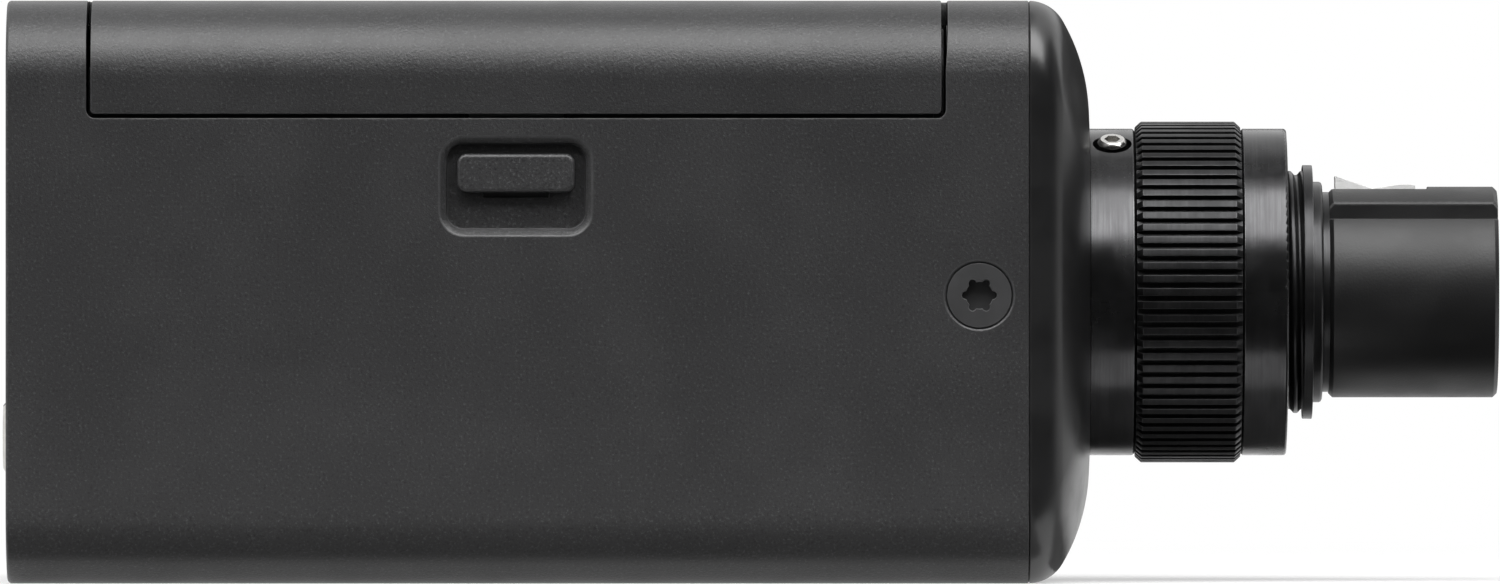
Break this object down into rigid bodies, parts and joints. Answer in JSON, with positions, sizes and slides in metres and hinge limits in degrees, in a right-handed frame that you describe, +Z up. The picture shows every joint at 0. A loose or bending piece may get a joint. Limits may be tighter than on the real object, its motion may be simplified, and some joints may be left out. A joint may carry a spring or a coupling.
{
  "type": "plug-on wireless transmitter",
  "caption": "Plug-on wireless microphone transmitter: rounded box case with hinged battery door, side catches, display, knurled clamping collar and audio connector nose.",
  "frame": {"origin": "middle of the object's length and width, on the plane it rests on", "axes": "+X along the case from the tail to the connector's tip, +Y to the left side with the display, +Z up through the battery door"},
  "size_m": [0.1116, 0.04, 0.0432],
  "materials": {
    "case_paint": "fine-textured dark grey powder coat",
    "door_paint": "fine-textured dark grey powder coat",
    "panel_paint": "fine-textured dark grey powder coat",
    "dome_coat": "smooth satin black coat",
    "anodised_collar": "turned, black anodised",
    "anodised_thread": "turned, black anodised",
    "grip_coat": "satin black anodised knurl",
    "nose_coat": "fine matt black coat",
    "black_steel": "black zinc plated",
    "steel": "satin",
    "spring_steel": "nickel plated",
    "tinned_steel": "tinned",
    "bright_nickel": "bright nickel plate",
    "contact_gold": "gold plated",
    "circuit_board": "solder mask",
    "black_plastic": "moulded, matt",
    "knob_plastic": "fine-textured dark grey",
    "key_plastic": "matt",
    "switch_plastic": "moulded",
    "cell_wrap": "printed film sleeve, mass of an alkaline cell",
    "window_glass": "tinted clear window",
    "clear_plastic": "clear moulded",
    "display_face": "display glass"
  },
  "bodies": {
    "case": {"housing": "case_paint", "end_panel": "panel_paint", "end_panel_screws": "black_steel", "end_dome": "dome_coat", "dome_screws": "black_steel", "hinge_pin": "steel", "battery_tray": "black_plastic", "aa_cells": "cell_wrap", "contact_plates": "spring_steel", "battery_springs": "spring_steel", "main_board": "circuit_board", "board_screws": "steel", "rf_shield": "tinned_steel", "key_board": "circuit_board", "rear_board": "circuit_board", "power_switch": "switch_plastic", "usb_socket": "tinned_steel", "light_pipe": "clear_plastic", "status_led": "switch_plastic", "jack_bushing": "bright_nickel", "jack_body": "black_plastic", "display_window": "window_glass", "display_module": "display_face", "key_switches": "switch_plastic", "catch_spring_right": "spring_steel", "catch_spring_left": "spring_steel", "collar_base": "anodised_collar", "set_screw": "bright_nickel", "xlr_barrel": "anodised_thread", "barrel_nut": "steel", "retaining_ring": "anodised_thread", "xlr_nose": "nose_coat", "xlr_insert": "black_plastic", "xlr_contacts": "contact_gold", "xlr_board": "circuit_board", "latch_pin": "steel", "latch_spring": "spring_steel"},
    "door": {"battery_door": "door_paint"},
    "catch_right": {"catch_knob_right": "knob_plastic", "catch_plate_right": "steel"},
    "catch_left": {"catch_knob_left": "knob_plastic", "catch_plate_left": "steel"},
    "key_up_body": {"key_up": "key_plastic"},
    "key_set_body": {"key_set": "key_plastic"},
    "key_down_body": {"key_down": "key_plastic"},
    "power_button_body": {"power_button": "key_plastic"},
    "latch": {"latch_lever": "bright_nickel"},
    "push_ring_body": {"push_ring": "black_plastic"},
    "lock_nut": {"locking_nut": "anodised_collar", "grip_ring": "grip_coat"}
  },
  "joints": [
    {"name": "door_hinge", "type": "hinge", "parent": "case", "child": "door", "pos_m": [-0.04729, 0, 0.04235], "axis": [0, -1, 0], "range_deg": [0, 95]},
    {"name": "catch_slide_right", "type": "slide", "parent": "case", "child": "catch_right", "axis": [0, 0, -1], "range_m": [0, 0.002], "stiffness_N_per_m": 400, "deforming": ["catch_spring_right"]},
    {"name": "catch_slide_left", "type": "slide", "parent": "case", "child": "catch_left", "axis": [0, 0, -1], "range_m": [0, 0.002], "stiffness_N_per_m": 400, "deforming": ["catch_spring_left"]},
    {"name": "key_up_press", "type": "slide", "parent": "case", "child": "key_up_body", "axis": [0, -1, 0], "range_m": [0, 0.0004], "stiffness_N_per_m": 1500},
    {"name": "key_set_press", "type": "slide", "parent": "case", "child": "key_set_body", "axis": [0, -1, 0], "range_m": [0, 0.0004], "stiffness_N_per_m": 1500},
    {"name": "key_down_press", "type": "slide", "parent": "case", "child": "key_down_body", "axis": [0, -1, 0], "range_m": [0, 0.0004], "stiffness_N_per_m": 1500},
    {"name": "power_press", "type": "slide", "parent": "case", "child": "power_button_body", "axis": [1, 0, 0], "range_m": [0, 0.0006], "stiffness_N_per_m": 1500},
    {"name": "latch_pivot", "type": "hinge", "parent": "case", "child": "latch", "pos_m": [0.049, 0, 0.0282], "axis": [0, -1, 0], "range_deg": [0, 11], "stiffness_Nm_per_rad": 0.02, "deforming": ["latch_spring"]},
    {"name": "nut_advance", "type": "slide", "parent": "case", "child": "push_ring_body", "axis": [1, 0, 0], "range_m": [0, 0.0025]},
    {"name": "nut_spin", "type": "hinge", "parent": "push_ring_body", "child": "lock_nut", "pos_m": [0.0287, 0, 0.0216], "axis": [1, 0, 0], "range_deg": [0, 720]}
  ],
  "couplings": [
    {"joint": "nut_spin", "follows": "nut_advance", "rad_per_m": 5026.5}
  ]
}
